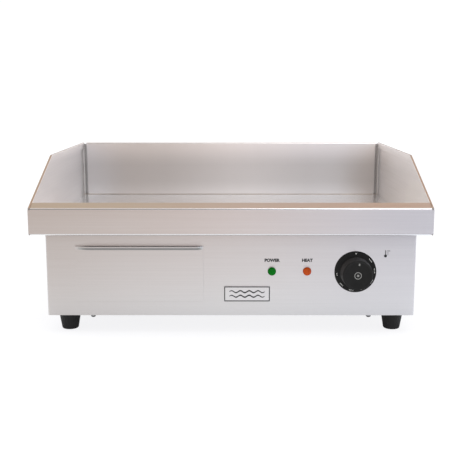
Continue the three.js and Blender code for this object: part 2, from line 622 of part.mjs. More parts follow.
put('cable_gland', cut(
  join(
    rodY(9, 184, 197.4, GLAND_X, GLAND_Z, 20),
    rodY(12, 192.2, 195.6, GLAND_X, GLAND_Z, 6),
    rodY(12, 184.5, 190, GLAND_X, GLAND_Z, 6),
  ),
  rodY(5, 180, 210, GLAND_X, GLAND_Z, 16),
), 'black');
{
  // mains lead, turned down behind the body and folded into a flat hank
  const radius = 4.3, y = 204.6;
  const left = -80, right = 150, loop = 14;  // straight runs and reach of the end loops
  const plugX = right + 40;
  const level = (n) => 7 + n * 9.6;          // height of run n above the floor
  put('power_cord', tube(fillet([
    [GLAND_X, 169, GLAND_Z], [GLAND_X, y, GLAND_Z], [GLAND_X + 30, y, 60],
    [GLAND_X + 40, y, level(3)], [GLAND_X + 20, y, level(3)],
    [left, y, level(3)], [left - loop, y, level(2.5)], [left, y, level(2)],
    [right, y, level(2)], [right + loop, y, level(1.5)], [right, y, level(1)],
    [left, y, level(1)], [left - loop, y, level(0.5)], [left, y, level(0)],
    [plugX, y, level(0)],
  ], 7), radius, 8), 'rubber');
  // plug: chamfered body, cord sleeve and two pins, bored for the cord
  put('power_plug', cut(
    join(
      extrudeX([
        [193.4, 1.5], [195.4, 0], [212.6, 0], [214.6, 1.5],
        [214.6, 24], [212.6, 26], [195.4, 26], [193.4, 24],
      ], plugX + 6, plugX + 40),
      extrudeX([[198, 2], [211, 2], [211, 14], [198, 14]], plugX - 8, plugX + 7),
      [6, 20].map((z) => rodX(2.3, plugX + 39, plugX + 58, 204, z, 10)),
    ),
    rodX(radius + 0.5, plugX - 20, plugX + 1, y, level(0), 12),
  ), 'rubber');
}

export default griddle;
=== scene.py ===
"""Electric countertop griddle: folded stainless body, polished plate, thermostat dial,
two lamps, drip tray drawer, rubber feet and a folded mains lead.

X runs left to right, the front faces -Y, Z is up and the feet stand on z = 0.
Shapes are given in millimetres and built in metres. Materials, studio and camera are in metres.
"""
import math
import bpy
import bmesh
from mathutils import Vector, Matrix


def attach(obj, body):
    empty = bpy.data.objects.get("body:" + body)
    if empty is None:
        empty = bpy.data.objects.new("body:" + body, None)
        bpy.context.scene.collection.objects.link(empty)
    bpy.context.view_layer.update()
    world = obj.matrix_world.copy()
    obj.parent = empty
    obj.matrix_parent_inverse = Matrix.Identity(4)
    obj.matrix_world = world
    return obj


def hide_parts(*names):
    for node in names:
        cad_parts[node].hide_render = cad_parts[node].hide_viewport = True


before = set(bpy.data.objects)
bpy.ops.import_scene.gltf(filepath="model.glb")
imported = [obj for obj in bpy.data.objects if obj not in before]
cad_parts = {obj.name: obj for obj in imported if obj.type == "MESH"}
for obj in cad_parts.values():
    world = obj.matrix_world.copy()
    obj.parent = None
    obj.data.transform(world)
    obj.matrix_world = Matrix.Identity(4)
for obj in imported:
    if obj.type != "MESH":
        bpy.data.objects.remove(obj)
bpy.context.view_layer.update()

MM = 0.001
scene = bpy.context.scene
ROOT, DIAL, DRAWER = "griddle_body", "thermostat_dial", "drip_tray_drawer"
STAINLESS, BLACK_PLASTIC, BLACK_RUBBER = "brushed_stainless", "black_plastic", "black_rubber"

# ---------------------------------------------------------- shared dimensions
T = 1.2                                   # sheet thickness
HALF_W = 275.0                            # half the overall width
Y_FRONT = -215.0                          # front face of the apron
TOP_Z = 246.0                             # level top of guards and splash back
RIM_Z = 186.2                             # guard top at the front
BREAK_Y = -63.1                           # where the sloped guard top turns level
SLOPE = (TOP_Z - RIM_Z) / (BREAK_Y - Y_FRONT)
APRON_BOT, SKIRT_Z = 149.2, 141.5         # lower edges of the apron, and of guards and splash
PLATE_BOT, PLATE_TOP = 142.0, 150.0
BODY_Y0, BODY_Z0, BODY_HW = -182.0, 28.0, 260.4   # body front face, bottom, half width
KNOB_X, KNOB_Z, KNOB_Y = 175.0, 92.1, -183.2      # dial axis and rear face of its flange
POWER_X, HEAT_X, LAMP_Z = 57.8, 107.4, 92.2
BASE_SCREW_X, BASE_SCREW_Y = 197, -174            # front pair of base screws


# ----------------------------------------------------------------- node tools
class Nodes:
    """Small builder round a node tree."""

    def __init__(self, tree):
        self.tree = tree
        self.sources = {}

    def node(self, kind, **settings):
        node = self.tree.nodes.new(kind)
        for key, value in settings.items():
            setattr(node, key, value)
        return node

    def put(self, socket, value):
        """Links a socket, or stores a number, vector or RGB colour."""
        if isinstance(value, bpy.types.NodeSocket):
            self.tree.links.new(value, socket)
        elif isinstance(value, tuple) and socket.type == "RGBA":
            socket.default_value = (*value, 1)
        else:
            socket.default_value = value

    def source(self, kind, output):
        """Output of an input node that the whole tree shares."""
        if kind not in self.sources:
            self.sources[kind] = self.node(kind)
        return self.sources[kind].outputs[output]

    def split(self, vector):
        node = self.node("ShaderNodeSeparateXYZ")
        self.put(node.inputs[0], vector)
        return node.outputs

    def remap(self, value, to=(0.0, 1.0), span=(0.0, 1.0), smooth=False):
        """Maps the input span onto `to`, clamped."""
        node = self.node("ShaderNodeMapRange")
        if smooth:
            node.interpolation_type = "SMOOTHSTEP"
        for key, number in zip(("From Min", "From Max", "To Min", "To Max"), (*span, *to)):
            node.inputs[key].default_value = number
        self.put(node.inputs["Value"], value)
        return node.outputs["Result"]

    def fade(self, value, start, end, smooth=False):
        """0 at start, 1 at end, whichever is larger."""
        to = (0.0, 1.0) if start < end else (1.0, 0.0)
        return self.remap(value, to, (min(start, end), max(start, end)), smooth)

    def swing(self, value, amount, span=(0.0, 1.0)):
        return self.remap(value, (-amount, amount), span)

    def math(self, operation, a, b=0.0):
        node = self.node("ShaderNodeMath", operation=operation)
        self.put(node.inputs[0], a)
        self.put(node.inputs[1], b)
        return node.outputs[0]

    def scaled(self, vector, factor):
        node = self.node("ShaderNodeVectorMath", operation="SCALE")
        self.put(node.inputs[0], vector)
        self.put(node.inputs["Scale"], factor)
        return node.outputs[0]

    def mix(self, factor, a, b):
        node = self.node("ShaderNodeMix", data_type="RGBA")
        for index, value in ((0, factor), (6, a), (7, b)):
            self.put(node.inputs[index], value)
        return node.outputs[2]

    def shader(self, kind, color, strength=None):
        node = self.node(kind)
        self.put(node.inputs["Color"], color)
        if strength is not None:
            node.inputs["Strength"].default_value = strength
        return node.outputs[0]

    def mix_shader(self, factor, a, b):
        node = self.node("ShaderNodeMixShader")
        for index, value in enumerate((factor, a, b)):
            self.put(node.inputs[index], value)
        return node.outputs[0]


class Material(Nodes):
    """A material whose textures use object coordinates."""

    def __init__(self, name):
        self.material = bpy.data.materials.new(name)
        self.material.use_nodes = True
        super().__init__(self.material.node_tree)
        self.principled = self.tree.nodes["Principled BSDF"]

    def noise(self, scale, detail, roughness, stretch=(1, 1, 1)):
        mapping = self.node("ShaderNodeMapping")
        mapping.inputs["Scale"].default_value = stretch
        self.put(mapping.inputs["Vector"], self.source("ShaderNodeTexCoord", "Object"))
        node = self.node("ShaderNodeTexNoise")
        for key, value in (("Scale", scale), ("Detail", detail), ("Roughness", roughness),
                           ("Vector", mapping.outputs["Vector"])):
            self.put(node.inputs[key], value)
        return node.outputs["Fac"]

    def geometry(self, output):
        return self.source("ShaderNodeNewGeometry", output)

    def bump(self, height, strength, distance):
        node = self.node("ShaderNodeBump")
        for key, value in (("Strength", strength), ("Distance", distance), ("Height", height)):
            self.put(node.inputs[key], value)
        return node.outputs["Normal"]

    def set(self, **values):
        """Principled inputs, with underscores for spaces."""
        for key, value in values.items():
            self.put(self.principled.inputs[key.replace("_", " ")], value)


def tint(color, gain, lift=0.0):
    return tuple(min(1, c * gain + lift) for c in color)


# ------------------------------------------------------------------ materials
# tangent that stretches the highlight, by facing of the sheet
TANGENT = {"X": (0.02, 0.03, 1.0), "Y": (0.03, 0.02, 1.0), "flat": (0.03, 1.0, 0.02)}


def painted_facing_light(m, color, rough, upper, lower, polish, x_fade=None,
               level=(0.78, 0.90), level_highlight=None):
    """Painted shade and highlight on bends, picked by how far the surface faces up or down.

    x_fade fades the upper tone out over x; level is the upward normal where a bend turns flat.
    """
    facing = m.split(m.geometry("Normal"))["Z"]
    up = m.math("MULTIPLY", m.fade(facing, 0.10, 0.30), m.fade(facing, level[1], level[0]))
    # painted highlight where a bend turns level
    if level_highlight:
        flat = m.math("MULTIPLY", m.fade(facing, *level), m.fade(facing, 0.90, 0.80))
        color = m.mix(flat, color, level_highlight)
    if x_fade:
        up = m.math("MULTIPLY", up, m.fade(m.split(m.geometry("Position"))["X"], *x_fade))
    down = m.remap(facing, span=(-0.10, -0.25))
    color = m.mix(down, m.mix(up, color, upper), lower)
    rough = m.math("SUBTRACT", rough, m.math("MULTIPLY", m.math("MAXIMUM", up, down), polish))
    return color, rough


def painted_light_zones(m, color, zones):
    """Painted light and shade by zone. Each is (gain, (axis, from, to), ...); fades and gains
    multiply.
    """
    position = m.split(m.geometry("Position"))
    total = None
    for amount, *spans in zones:
        inside = None
        for axis, start, end in spans:
            ramp = m.fade(position[axis], start, end)
            inside = ramp if inside is None else m.math("MULTIPLY", inside, ramp)
        gain = m.math("ADD", m.math("MULTIPLY", inside, amount), 1.0)
        total = gain if total is None else m.math("MULTIPLY", total, gain)
    return m.scaled(color, total)


def painted_hem_light(m, color, slanted, level, front):
    """Painted light on folded hems: a painted brown reflection where they slant up, painted shade
    where level and where they face front.
    """
    normal = m.split(m.geometry("Normal"))
    color = m.mix(m.fade(normal["Z"], 0.45, 0.75), color, slanted)
    color = m.mix(m.fade(normal["Z"], 0.95, 0.975), color, level)
    return m.mix(m.remap(normal["Y"], span=(-0.45, -0.85)), color, front)


def steel(name, color, rough, grain="X", highlight="X", anisotropy=0.75, lines=0.02, spread=0.03,
          mottle=0.012, bump=0.03, folds=None, zones=None, hems=None):
    """Brushed sheet: hairlines along the grain, wider faint streaks, slow handling marks.

    lines, spread: how much streaks change tone and roughness; mottle: the same for slow marks.
    """
    m = Material(name)

    def streaks(along, across, detail, roughness):
        stretch = (along, across, across) if grain == "X" else (across, along, across)
        return m.noise(1.0, detail, roughness, stretch)

    fine = streaks(9, 2400, detail=2.0, roughness=0.6)
    middle = streaks(3.5, 420, detail=3.0, roughness=0.55)
    wide = streaks(1.2, 60, detail=2.0, roughness=0.5)
    slow = m.noise(scale=5.0, detail=3.0, roughness=0.5)
    core, slow_span = (0.3, 0.7), (0.35, 0.65)      # parts of the noise range that count

    roughness = m.math("ADD", m.swing(fine, spread), rough)
    roughness = m.math("ADD", roughness, m.swing(middle, spread, span=(0.25, 0.75)))
    roughness = m.math("ADD", roughness, m.swing(wide, spread * 0.5, core))
    roughness = m.math("ADD", roughness, m.swing(slow, mottle, slow_span))
    tone = m.math("ADD", m.remap(middle, to=(1 - lines, 1 + lines), span=core),
                  m.swing(wide, lines * 0.6, core))
    tone = m.math("ADD", tone, m.swing(fine, lines, core))
    tone = m.math("ADD", tone, m.swing(slow, mottle, slow_span))
    base = m.scaled(color, tone)
    # the three steps below paint light and shade into the colour: by facing, by zone and on hems
    if folds:
        base, roughness = painted_facing_light(m, base, roughness, **folds)
    if zones:
        base = painted_light_zones(m, base, zones)
    if hems:
        base = painted_hem_light(m, base, **hems)

    tangent = m.node("ShaderNodeCombineXYZ")
    for socket, value in zip(tangent.inputs, TANGENT[highlight]):
        socket.default_value = value
    relief = m.math("ADD", m.remap(fine), m.remap(middle, to=(0, 0.8)))
    m.set(Base_Color=base, Roughness=roughness, Metallic=1.0, Anisotropic=anisotropy,
          Tangent=tangent.outputs[0], Normal=m.bump(relief, bump, distance=0.00005))
    return m.material


def plain_metal(name, color, rough, scale=260.0):
    m = Material(name)
    grit = m.noise(scale, detail=4.0, roughness=0.6)
    patches = m.noise(scale * 0.08, detail=3.0, roughness=0.5)
    m.set(Base_Color=m.mix(m.fade(patches, 0.3, 0.7), tint(color, 0.86), tint(color, 1.08)),
          Metallic=1.0, Roughness=m.math("ADD", m.swing(grit, 0.08), rough),
          Normal=m.bump(grit, strength=0.08, distance=0.00008))
    return m.material


def moulded(name, color, rough, grain, bump=0.12, specular=0.5, wear=1.25):
    """Plastic, rubber or fibre; wear brightens the outer edges."""
    m = Material(name)
    fine = m.noise(grain, detail=3.0, roughness=0.55)
    patches = m.noise(scale=45.0, detail=4.0, roughness=0.55)
    edge = m.fade(m.geometry("Pointiness"), 0.51, 0.62)
    base = m.mix(m.fade(patches, 0.3, 0.7), tint(color, 0.9), tint(color, 1.12))
    m.set(Base_Color=m.mix(edge, base, tint(color, wear, lift=0.01)),
          Roughness=m.math("ADD", m.swing(patches, 0.05), rough), Specular_IOR_Level=specular,
          Normal=m.bump(fine, bump, distance=0.00005))
    return m.material


def lens_plastic(name, color):
    m = Material(name)
    fine = m.noise(scale=500.0, detail=2.0, roughness=0.5)
    cloud = m.noise(scale=160.0, detail=2.0, roughness=0.5)
    m.set(Base_Color=m.mix(m.fade(cloud, 0.3, 0.7), tint(color, 0.85), color),
          Roughness=m.math("ADD", m.swing(fine, 0.03), 0.22), Specular_IOR_Level=0.08,
          Subsurface_Weight=0.25, Subsurface_Scale=0.002, Subsurface_Radius=(1.0, 1.0, 1.0),
          Emission_Color=color, Emission_Strength=0.04,
          Normal=m.bump(fine, strength=0.03, distance=0.00004))
    return m.material


def printed(name, color, rough=0.45):
    m = Material(name)
    speckle = m.noise(scale=1800.0, detail=3.0, roughness=0.6)
    m.set(Base_Color=m.mix(m.fade(speckle, 0.3, 0.7), tint(color, 0.8),
                           tint(color, 1.1, lift=0.004)),
          Roughness=rough, Normal=m.bump(speckle, strength=0.05, distance=0.00003))
    return m.material


STEEL = (0.60, 0.585, 0.59)
GUARD = dict(
    grain="Y", highlight="Y", anisotropy=0.35,
    # painted brown reflection on the slanted hem top, painted shade on level and front-facing hem
    # faces
    hems=dict(slanted=(0.50, 0.42, 0.365), level=(0.30, 0.295, 0.29), front=(0.40, 0.385, 0.375)))
# painted light on the splash back: lighter along the top, the top right and the middle, a darker
# middle band, lighter near the foot
SPLASH_PAINTED_LIGHT = (
    (0.31, ("Z", 0.205, 0.246)),
    (0.13, ("Z", 0.205, 0.246), ("X", 0.05, 0.15)),
    (0.16, ("X", -0.12, 0.0), ("X", 0.14, 0.04)),
    (-0.07, ("Z", 0.235, 0.215), ("Z", 0.155, 0.175)),
    (0.08, ("Z", 0.172, 0.150)),
    # painted shade in the upper corner gaps, right and left
    (-0.45, ("X", 0.2660, 0.2672), ("Y", 0.2104, 0.2116), ("Z", 0.2450, 0.2435)),
    (-0.45, ("X", -0.2660, -0.2672), ("Y", 0.2104, 0.2116), ("Z", 0.2450, 0.2435)),
)
SHEET_STEEL = steel("stainless_sheet_mat", STEEL, rough=0.36)
# painted highlight on the up-facing slopes of the lip, painted shade on its down-facing flare
DRAWER_STEEL = steel(
    "stainless_drawer_mat", STEEL, rough=0.36,
    folds=dict(upper=(0.97, 0.95, 0.945), lower=(0.42, 0.41, 0.405), polish=0.0))
SIDE_STEEL = steel("stainless_side_mat", STEEL, rough=0.36, grain="Y", highlight="Y")
# one steel in a darker and a brighter copy: painted shade on the left guard, painted light on the
# right; the zones paint light towards the lower front of each
GUARD_LEFT_SHADED_STEEL = steel(
    "stainless_guard_left_mat", (0.86, 0.835, 0.825), rough=0.44, **GUARD,
    zones=((0.25, ("Y", -0.02, -0.17), ("Z", 0.21, 0.15)),))
GUARD_RIGHT_LIT_STEEL = steel(
    "stainless_guard_right_mat", (0.98, 0.975, 0.985), rough=0.50, **GUARD,
    zones=((0.6, ("Y", -0.03, -0.16), ("Z", 0.215, 0.155)),))
SPLASH_STEEL = steel(
    "stainless_splash_mat", (0.545, 0.53, 0.525), rough=0.30, anisotropy=0.6,
    lines=0.005, spread=0.002, mottle=0.003, bump=0.0006, zones=SPLASH_PAINTED_LIGHT)
# painted light on the apron bends: painted shade on shallow up-facing slopes, fading out towards the
# right, painted highlight where the rim turns level and on the down-facing lower bend
APRON_STEEL = steel(
    "stainless_apron_mat", STEEL, rough=0.33,
    folds=dict(upper=(0.40, 0.415, 0.42), lower=(0.69, 0.685, 0.695), polish=0.14,
               x_fade=(0.165, 0.10), level=(0.50, 0.62), level_highlight=(1.0, 0.98, 0.98)))
# painted light on the plate: a quarter lighter from left of centre to the right edge
PLATE_STEEL = steel(
    "polished_plate_mat", (0.985, 0.98, 0.975), rough=0.25, highlight="flat", anisotropy=0.5,
    lines=0.012, spread=0.02, mottle=0.01, bump=0.01, zones=((0.25, ("X", -0.2, -0.02)),))
WELD = plain_metal("heat_tinted_weld_mat", (0.58, 0.50, 0.43), rough=0.45, scale=700.0)
TRAY_STEEL = steel("stainless_tray_mat", (0.56, 0.555, 0.56), rough=0.34, grain="Y",
                   highlight="flat")
ZINC = plain_metal("zinc_plate_mat", (0.50, 0.51, 0.53), rough=0.42)
SCREW = plain_metal("screw_mat", (0.55, 0.55, 0.56), rough=0.32, scale=900.0)
BASE_SCREW = plain_metal("base_screw_mat", (0.30, 0.30, 0.31), rough=0.38, scale=900.0)
SHEATH = plain_metal("heat_tinted_sheath_mat", (0.30, 0.26, 0.22), rough=0.5, scale=500.0)
COPPER = plain_metal("copper_mat", (0.72, 0.40, 0.24), rough=0.32, scale=500.0)
BRASS = plain_metal("brass_mat", (0.72, 0.56, 0.26), rough=0.3, scale=700.0)
KNOB = moulded("knob_thermoset_mat", (0.0165, 0.0165, 0.0165), rough=0.5, grain=1400.0,
               bump=0.05, specular=0.08)
FOOT_RUBBER = moulded("foot_rubber_mat", (0.022, 0.022, 0.0225), rough=0.62, grain=1100.0,
                      bump=0.25, specular=0.3)
CORD_RUBBER = moulded("cord_rubber_mat", (0.020, 0.020, 0.022), rough=0.52, grain=1500.0,
                      bump=0.2, specular=0.4)
BLACK_NYLON = moulded("black_nylon_mat", (0.025, 0.025, 0.027), rough=0.45, grain=1200.0)
INSULATOR = moulded("white_insulator_mat", (0.80, 0.78, 0.72), rough=0.5, grain=1200.0,
                    bump=0.1, wear=1.0)
WIRE_SLEEVE = moulded("wire_sleeve_mat", (0.10, 0.11, 0.13), rough=0.55, grain=1600.0, bump=0.3)
WOOL = moulded("mineral_wool_mat", (0.62, 0.56, 0.40), rough=0.95, grain=700.0, bump=0.8,
               specular=0.1, wear=1.1)
GREEN_LENS = lens_plastic("green_lens_mat", (0.0003, 0.175, 0.008))
ORANGE_LENS = lens_plastic("orange_lens_mat", (0.56, 0.086, 0.014))
WHITE_PRINT = printed("white_print_mat", (0.70, 0.70, 0.68))
WORN_PRINT = printed("worn_white_print_mat", (0.26, 0.26, 0.25))
FAINT_INK = printed("faint_black_print_mat", (0.16, 0.16, 0.165), rough=0.6)
INK = printed("black_print_mat", (0.012, 0.012, 0.013), rough=0.6)
BADGE_STEEL = steel("badge_sheet_mat", (0.62, 0.61, 0.62), rough=0.34)


# ----------------------------------------------------------------- mesh tools
def tidy(mesh, merge, dissolve=False):
    """Merges doubles and turns normals outward; dissolve also drops edges on flat faces."""
    bm = bmesh.new()
    bm.from_mesh(mesh)
    bmesh.ops.remove_doubles(bm, verts=bm.verts, dist=merge)
    if dissolve:
        bmesh.ops.dissolve_limit(bm, angle_limit=math.radians(0.4), verts=bm.verts,
                                 edges=bm.edges, delimit={"NORMAL"})
    bmesh.ops.recalc_face_normals(bm, faces=bm.faces)
    bm.to_mesh(mesh)
    bm.free()


def build(verts, faces):
    mesh = bpy.data.meshes.new("shape")
    mesh.from_pydata([tuple(c * MM for c in v) for v in verts], [], faces)
    tidy(mesh, merge=1e-7)
    return mesh


def add_object(name, data):
    ob = bpy.data.objects.new(name, data)
    scene.collection.objects.link(ob)
    return ob


def add_bevel(ob, width, angle, segments=2):
    bevel = ob.modifiers.new("edge", "BEVEL")
    bevel.width = width * MM
    bevel.segments = segments
    bevel.limit_method = "ANGLE"
    bevel.angle_limit = math.radians(angle)
    bevel.harden_normals = True


def flatten_shading(ob):
    """Large flat faces keep their own normal, so sheets stay flat up to their folds."""
    weighted = ob.modifiers.new("flat_faces", "WEIGHTED_NORMAL")
    weighted.mode = "FACE_AREA"
    weighted.weight = 100
    weighted.keep_sharp = True


def add_named(name, mesh, material, body):
    mesh.name = name + "_mesh"
    mesh.materials.clear()
    mesh.materials.append(material)
    ob = add_object(name, mesh)
    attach(ob, body)
    return ob


def place(name, mesh, material, body=ROOT, replaces=None, bevel=0, segments=2,
          angle=32):
    """Finishes a mesh as a piece: smooth with sharp edges above `angle`, bevelled."""
    for polygon in mesh.polygons:
        polygon.use_smooth = True
    mesh.set_sharp_from_angle(angle=math.radians(angle))
    ob = add_named(name, mesh, material, body)
    if bevel:
        add_bevel(ob, bevel, angle, segments)
    flatten_shading(ob)
    if replaces:
        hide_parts(replaces)
    return ob


def prism_data(profile, axis, start, end):
    """Closed profile swept along an axis. X: (y, z); Y: (x, z); Z: (x, y)."""
    def at(p, a):
        return {"X": (a, p[0], p[1]), "Y": (p[0], a, p[1]), "Z": (p[0], p[1], a)}[axis]
    n = len(profile)
    verts = [at(p, start) for p in profile] + [at(p, end) for p in profile]
    faces = [list(range(n)), list(range(2 * n - 1, n - 1, -1))]
    faces += [[i, (i + 1) % n, n + (i + 1) % n, n + i] for i in range(n)]
    return verts, faces


def prism(profile, axis, start, end):
    return build(*prism_data(profile, axis, start, end))


def loft(sections):
    """Closed loops with the same point count, capped at both ends."""
    n = len(sections[0])
    verts = [p for section in sections for p in section]
    faces = []
    for k in range(len(sections) - 1):
        for i in range(n):
            j = (i + 1) % n
            faces.append([k * n + i, k * n + j, (k + 1) * n + j, (k + 1) * n + i])
    faces.append(list(range(n)))
    faces.append([(len(sections) - 1) * n + i for i in reversed(range(n))])
    return build(verts, faces)


def lathe(profile, axis, centre, segments, wobble=None):
    """profile: (radius, place along axis) from axis to axis. centre: the other coordinates.

    wobble(radius, place, angle) is added to the radius.
    """
    u, v = centre
    verts, faces, rings = [], [], []

    def add(x, y, h):
        verts.append({"X": (h, u + x, v + y), "Y": (u + x, h, v + y), "Z": (u + x, v + y, h)}[axis])
        return len(verts) - 1

    for radius, h in profile:
        if radius < 1e-6:
            rings.append([add(0.0, 0.0, h)])
            continue
        ring = []
        for i in range(segments):
            angle = 2 * math.pi * i / segments
            r = radius + (wobble(radius, h, angle) if wobble else 0.0)
            ring.append(add(r * math.cos(angle), r * math.sin(angle), h))
        rings.append(ring)
    for a, b in zip(rings, rings[1:]):
        for i in range(segments):
            j = (i + 1) % segments
            if len(a) == 1:
                faces.append([a[0], b[i], b[j]])
            elif len(b) == 1:
                faces.append([a[i], a[j], b[0]])
            else:
                faces.append([a[i], a[j], b[j], b[i]])
    return build(verts, faces)


def fillet(points, radii, steps=8):
    """Rounds the inner corners of an open path. radii: one number, or one per corner."""
    if not isinstance(radii, tuple):
        radii = (radii,) * (len(points) - 2)
    out = [points[0]]
    for before, corner, after, radius in zip(points, points[1:], points[2:], radii):
        p = Vector(corner)
        a, b = Vector(before) - p, Vector(after) - p
        length_a, length_b = a.length, b.length
        a.normalize()
        b.normalize()
        angle = a.angle(b)
        if angle > math.pi - 0.02:      # straight on, nothing to round
            out.append(tuple(corner))
            continue
        # short legs reduce the radius
        setback = min(radius / math.tan(angle / 2), length_a * 0.49, length_b * 0.49)
        radius = setback * math.tan(angle / 2)
        centre = p + (a + b).normalized() * (radius / math.sin(angle / 2))
        start, end = p + a * setback - centre, p + b * setback - centre
        turn = start.angle(end)
        for k in range(steps + 1):
            t = k / steps
            out.append(tuple(start * (math.sin((1 - t) * turn) / math.sin(turn))
                             + end * (math.sin(t * turn) / math.sin(turn)) + centre))
    out.append(tuple(points[-1]))
    return out


def sheet(path):
    """Closed outline of sheet metal centred on an open path."""
    left, right = [], []
    last = len(path) - 1
    for i, point in enumerate(path):
        p = Vector(point)
        normals = []
        if i:
            d = (p - Vector(path[i - 1])).normalized()
            normals.append(Vector((-d.y, d.x)))
        if i < last:
            d = (Vector(path[i + 1]) - p).normalized()
            normals.append(Vector((-d.y, d.x)))
        side = normals[0]
        if len(normals) == 2:           # mitre
            side = normals[0] + normals[1]
            side = side / (0.5 * side.length_squared)
        left.append((p.x + side.x * T / 2, p.y + side.y * T / 2))
        right.insert(0, (p.x - side.x * T / 2, p.y - side.y * T / 2))
    return left + right


def combine(base, tools, operation="DIFFERENCE"):
    """Applies exact booleans, consumes all the meshes and returns the result."""
    objects = [add_object("operand", mesh) for mesh in (base, *tools)]
    for tool in objects[1:]:
        modifier = objects[0].modifiers.new("boolean", "BOOLEAN")
        modifier.operation = operation
        modifier.solver = "EXACT"
        modifier.object = tool
    depsgraph = bpy.context.evaluated_depsgraph_get()
    result = bpy.data.meshes.new_from_object(objects[0].evaluated_get(depsgraph))
    for ob in objects:
        mesh = ob.data
        bpy.data.objects.remove(ob)
        bpy.data.meshes.remove(mesh)
    tidy(result, merge=2e-7, dissolve=True)
    return result


def arc(cx, cy, r, start, end, n):
    """n + 1 points, angles in degrees."""
    angles = [math.radians(start + (end - start) * k / n) for k in range(n + 1)]
    return [(cx + r * math.cos(a), cy + r * math.sin(a)) for a in angles]


def rounded_rect(x0, x1, z0, z1, r, n):
    corners = ((x1 - r, z1 - r, 0), (x0 + r, z1 - r, 90), (x0 + r, z0 + r, 180),
               (x1 - r, z0 + r, 270))
    return [p for cx, cz, start in corners for p in arc(cx, cz, r, start, start + 90, n)]


def circle(cx, cz, r, n=32):
    return [(cx + r * math.cos(2 * math.pi * i / n), cz + r * math.sin(2 * math.pi * i / n))
            for i in range(n)]


# ------------------------------------------------------------ cooking surface
def griddle_plate():
    front, edge_r = -157, 3.5
    profile = [(front + 0.6, PLATE_BOT), (209.1, PLATE_BOT), (209.1, PLATE_TOP)]
    profile += arc(front + edge_r, PLATE_TOP - edge_r, edge_r, 90, 180, 8)
    place("griddle_plate_ground", prism(profile, "X", -273.3, 273.3), PLATE_STEEL,
          replaces="griddle_plate", bevel=0.35, segments=3)


def splash_back():
    """Front skin, level top, short return, and side returns turned out behind the joints."""
    half, front, rear, top = 267.4, 210.1, 214.4, TOP_Z - T / 2     # mid-sheet y and z

    def fold(front_z, rear_z):
        return sheet(fillet([(front, front_z), (front, top), (rear, top), (rear, rear_z)], 1.4))

    skin = prism(fold(SKIRT_Z, 228.0), "X", -half + 1.3, half - 1.3)
    sides = []
    for side in (-1, 1):
        turned = [(side * (half - 8), front), (side * (half - 0.6), front),
                  (side * (half - 0.6), rear), (side * (half + 5), rear)]
        sides.append(prism(sheet(fillet(turned, 1.3)), "Z", SKIRT_Z, 243.5))
        sides.append(prism(fold(240.0, 240.0), "X", *sorted((side * (half - 2), side * half))))
    place("splash_back_sheet", combine(skin, sides, "UNION"), SPLASH_STEEL,
          replaces="splash_back", bevel=0.16, angle=30)
    # bead along the foot of the splash back (y, z)
    bead = [(209.42, 150.12), (209.42, 150.95), (209.1, 150.9), (207.6, 150.35), (207.0, 150.12)]
    place("splash_weld_fillet", prism(bead, "X", -273.6, 273.6), WELD, bevel=0.08)


def guard_mesh(side):
    """Side guard with a hemmed top, lofted front to rear and turned in at the rear."""
    hem_w, hem_r, soft = 3.0, 0.8, 3.0     # hem width, its edge radius, half length of the break
    bend_y, bend_x, bend_r = 206.7, 271.0, 2.8

    def top(y):
        past = y - BREAK_Y
        if past <= -soft:
            return RIM_Z + SLOPE * (y - Y_FRONT)
        if past >= soft:
            return TOP_Z
        return TOP_Z - SLOPE * (soft - past) ** 2 / (4 * soft)

    def section(y, inner=HALF_W - T):
        z_top = top(y)
        z_bot = APRON_BOT if y <= -172 else SKIRT_Z
        hem_inner = min(HALF_W - hem_w, inner)
        points = [(HALF_W, z_bot)]
        points += arc(HALF_W - hem_r, z_top - hem_r, hem_r, 0, 90, 4)
        points += arc(HALF_W - hem_w + hem_r, z_top - hem_r, hem_r, 90, 180, 4)
        points += [(hem_inner, z_top - 1.7), (hem_inner, z_top - 10.0), (inner, z_top - 10.6),
                   (inner, z_bot)]
        return [(side * x, y, z) for x, z in points]

    stations = [Y_FRONT + T + 0.3, -172, -163]
    stations += [BREAK_Y + k for k in range(-3, 4)] + [60, bend_y]
    sections = [section(y) for y in stations]
    sections += [section(bend_y + bend_r * math.sin(math.radians(a)),
                         bend_x + bend_r * math.cos(math.radians(a))) for a in range(0, 91, 10)]
    sections += [section(210.7, bend_x), section(210.7), section(212.5)]
    return loft(sections)


def front_apron():
    """Upright face with a sloped rim folded back over it and a lip turned in below."""
    rim_depth = 16.2
    face_y, rim_y = Y_FRONT + T / 2, Y_FRONT + rim_depth - T / 2
    drop = -T / 2 / math.hypot(SLOPE, 1) * 1.02     # slope surface to mid-sheet
    path = [(Y_FRONT + 11, APRON_BOT + T / 2), (face_y, APRON_BOT + T / 2),
            (face_y, RIM_Z + SLOPE * T / 2 + drop),
            (rim_y, RIM_Z + SLOPE * rim_depth - SLOPE * T / 2 + drop), (rim_y, RIM_Z - 3.5)]
    core = prism(sheet(fillet(path, (1.8, 2.3, 0.55))), "X", -271.6, 271.6)
    y0, y1, z0, z1 = Y_FRONT, Y_FRONT + T, APRON_BOT + 2.2, RIM_Z - 2.0
    face = prism([(y0, z0), (y1, z0), (y1, z1), (y0, z1)], "X", -HALF_W, HALF_W)
    place("front_apron_sheet", combine(core, [face], "UNION"), APRON_STEEL,
          replaces="front_apron", bevel=0.2, angle=28)


griddle_plate()
splash_back()
for side, side_name, material in ((-1, "left", GUARD_LEFT_SHADED_STEEL), (1, "right", GUARD_RIGHT_LIT_STEEL)):
    place(f"splash_guard_{side_name}_sheet", guard_mesh(side), material,
          replaces=f"splash_guard_{side_name}", bevel=0.25, angle=28)
front_apron()


